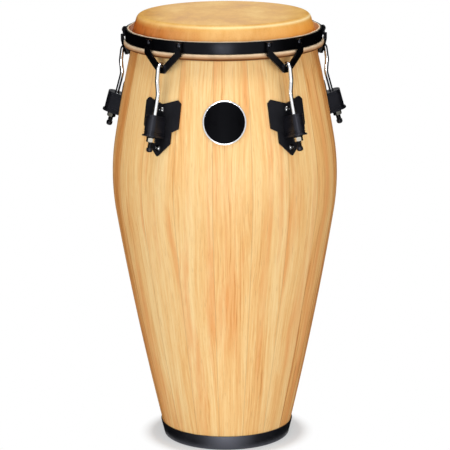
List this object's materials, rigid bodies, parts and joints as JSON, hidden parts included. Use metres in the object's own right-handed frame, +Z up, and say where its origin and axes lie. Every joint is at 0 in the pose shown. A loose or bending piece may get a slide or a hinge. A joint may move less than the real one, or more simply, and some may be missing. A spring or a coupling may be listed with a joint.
{
  "type": "conga drum",
  "caption": "Tall staved wooden hand drum with a rawhide head, a steel rim pulled down by tension hooks and nuts, side plates with lugs, and an open foot.",
  "frame": {"origin": "middle of the ring on which the foot collar stands, on the drum's axis", "axes": "+Z up along the drum's axis, -Y towards the badge at the front, +X to the right"},
  "size_m": [0.405, 0.3965, 0.711],
  "materials": {
    "wood": "clear lacquered pale hardwood, vertical grain",
    "black_steel": "black powder coat, satin",
    "black_rubber": "black moulded, ribbed",
    "badge_black": "black enamel",
    "chrome": "polished chrome plate",
    "zinc_steel": "zinc plated",
    "rawhide": "natural hide, semi-gloss"
  },
  "bodies": {
    "shell": {"shell_staves": "wood", "foot_collar": "black_steel", "badge_plate": "badge_black", "badge_bezel": "chrome", "plate_bolts": "black_steel", "plate_nuts": "zinc_steel", "side_plate_1": "black_steel", "side_plate_2": "black_steel", "side_plate_3": "black_steel", "side_plate_4": "black_steel", "side_plate_5": "black_steel", "lug_block_1": "black_rubber", "lug_block_2": "black_rubber", "lug_block_3": "black_rubber", "lug_block_4": "black_rubber", "lug_block_5": "black_rubber", "backing_plate_1": "zinc_steel", "backing_plate_2": "zinc_steel", "backing_plate_3": "zinc_steel", "backing_plate_4": "zinc_steel", "backing_plate_5": "zinc_steel"},
    "head": {"rim_band": "black_steel", "bracket_rivets": "black_steel", "flesh_ring": "zinc_steel", "head_skin": "rawhide", "bracket_1": "black_steel", "bracket_2": "black_steel", "bracket_3": "black_steel", "bracket_4": "black_steel", "bracket_5": "black_steel"},
    "hook_1": {"tension_hook_1": "chrome", "rod_cap_1": "black_rubber"},
    "nut_1": {"tension_nut_1": "chrome", "nut_washer_1": "chrome"},
    "hook_2": {"tension_hook_2": "chrome", "rod_cap_2": "black_rubber"},
    "nut_2": {"tension_nut_2": "chrome", "nut_washer_2": "chrome"},
    "hook_3": {"tension_hook_3": "chrome", "rod_cap_3": "black_rubber"},
    "nut_3": {"tension_nut_3": "chrome", "nut_washer_3": "chrome"},
    "hook_4": {"tension_hook_4": "chrome", "rod_cap_4": "black_rubber"},
    "nut_4": {"tension_nut_4": "chrome", "nut_washer_4": "chrome"},
    "hook_5": {"tension_hook_5": "chrome", "rod_cap_5": "black_rubber"},
    "nut_5": {"tension_nut_5": "chrome", "nut_washer_5": "chrome"}
  },
  "joints": [
    {"name": "tuning_slide", "type": "slide", "parent": "shell", "child": "head", "axis": [0, 0, 1], "range_m": [0, 0.008]},
    {"name": "hook_slide_1", "type": "slide", "parent": "shell", "child": "hook_1", "axis": [0.2621, -0.0852, 0.9613], "range_m": [0, 0.00842]},
    {"name": "nut_turn_1", "type": "hinge", "parent": "shell", "child": "nut_1", "pos_m": [-0.1864, 0.06057, 0.5385], "axis": [0.2621, -0.0852, 0.9613], "range_deg": [-2399, 0]},
    {"name": "hook_slide_2", "type": "slide", "parent": "shell", "child": "hook_2", "axis": [0.162, 0.223, 0.9613], "range_m": [0, 0.00842]},
    {"name": "nut_turn_2", "type": "hinge", "parent": "shell", "child": "nut_2", "pos_m": [-0.1152, -0.15856, 0.5385], "axis": [0.162, 0.223, 0.9613], "range_deg": [-2399, 0]},
    {"name": "hook_slide_3", "type": "slide", "parent": "shell", "child": "hook_3", "axis": [-0.162, 0.223, 0.9613], "range_m": [0, 0.00842]},
    {"name": "nut_turn_3", "type": "hinge", "parent": "shell", "child": "nut_3", "pos_m": [0.1152, -0.15856, 0.5385], "axis": [-0.162, 0.223, 0.9613], "range_deg": [-2399, 0]},
    {"name": "hook_slide_4", "type": "slide", "parent": "shell", "child": "hook_4", "axis": [-0.2621, -0.0852, 0.9613], "range_m": [0, 0.00842]},
    {"name": "nut_turn_4", "type": "hinge", "parent": "shell", "child": "nut_4", "pos_m": [0.1864, 0.06057, 0.5385], "axis": [-0.2621, -0.0852, 0.9613], "range_deg": [-2399, 0]},
    {"name": "hook_slide_5", "type": "slide", "parent": "shell", "child": "hook_5", "axis": [0, -0.2756, 0.9613], "range_m": [0, 0.00842]},
    {"name": "nut_turn_5", "type": "hinge", "parent": "shell", "child": "nut_5", "pos_m": [0, 0.19599, 0.5385], "axis": [0, -0.2756, 0.9613], "range_deg": [-2399, 0]}
  ],
  "couplings": [
    {"joint": "hook_slide_1", "follows": "tuning_slide", "ratio": 1.0403},
    {"joint": "nut_turn_1", "follows": "tuning_slide", "rad_per_m": -5229.1},
    {"joint": "hook_slide_2", "follows": "tuning_slide", "ratio": 1.0403},
    {"joint": "nut_turn_2", "follows": "tuning_slide", "rad_per_m": -5229.1},
    {"joint": "hook_slide_3", "follows": "tuning_slide", "ratio": 1.0403},
    {"joint": "nut_turn_3", "follows": "tuning_slide", "rad_per_m": -5229.1},
    {"joint": "hook_slide_4", "follows": "tuning_slide", "ratio": 1.0403},
    {"joint": "nut_turn_4", "follows": "tuning_slide", "rad_per_m": -5229.1},
    {"joint": "hook_slide_5", "follows": "tuning_slide", "ratio": 1.0403},
    {"joint": "nut_turn_5", "follows": "tuning_slide", "rad_per_m": -5229.1}
  ]
}
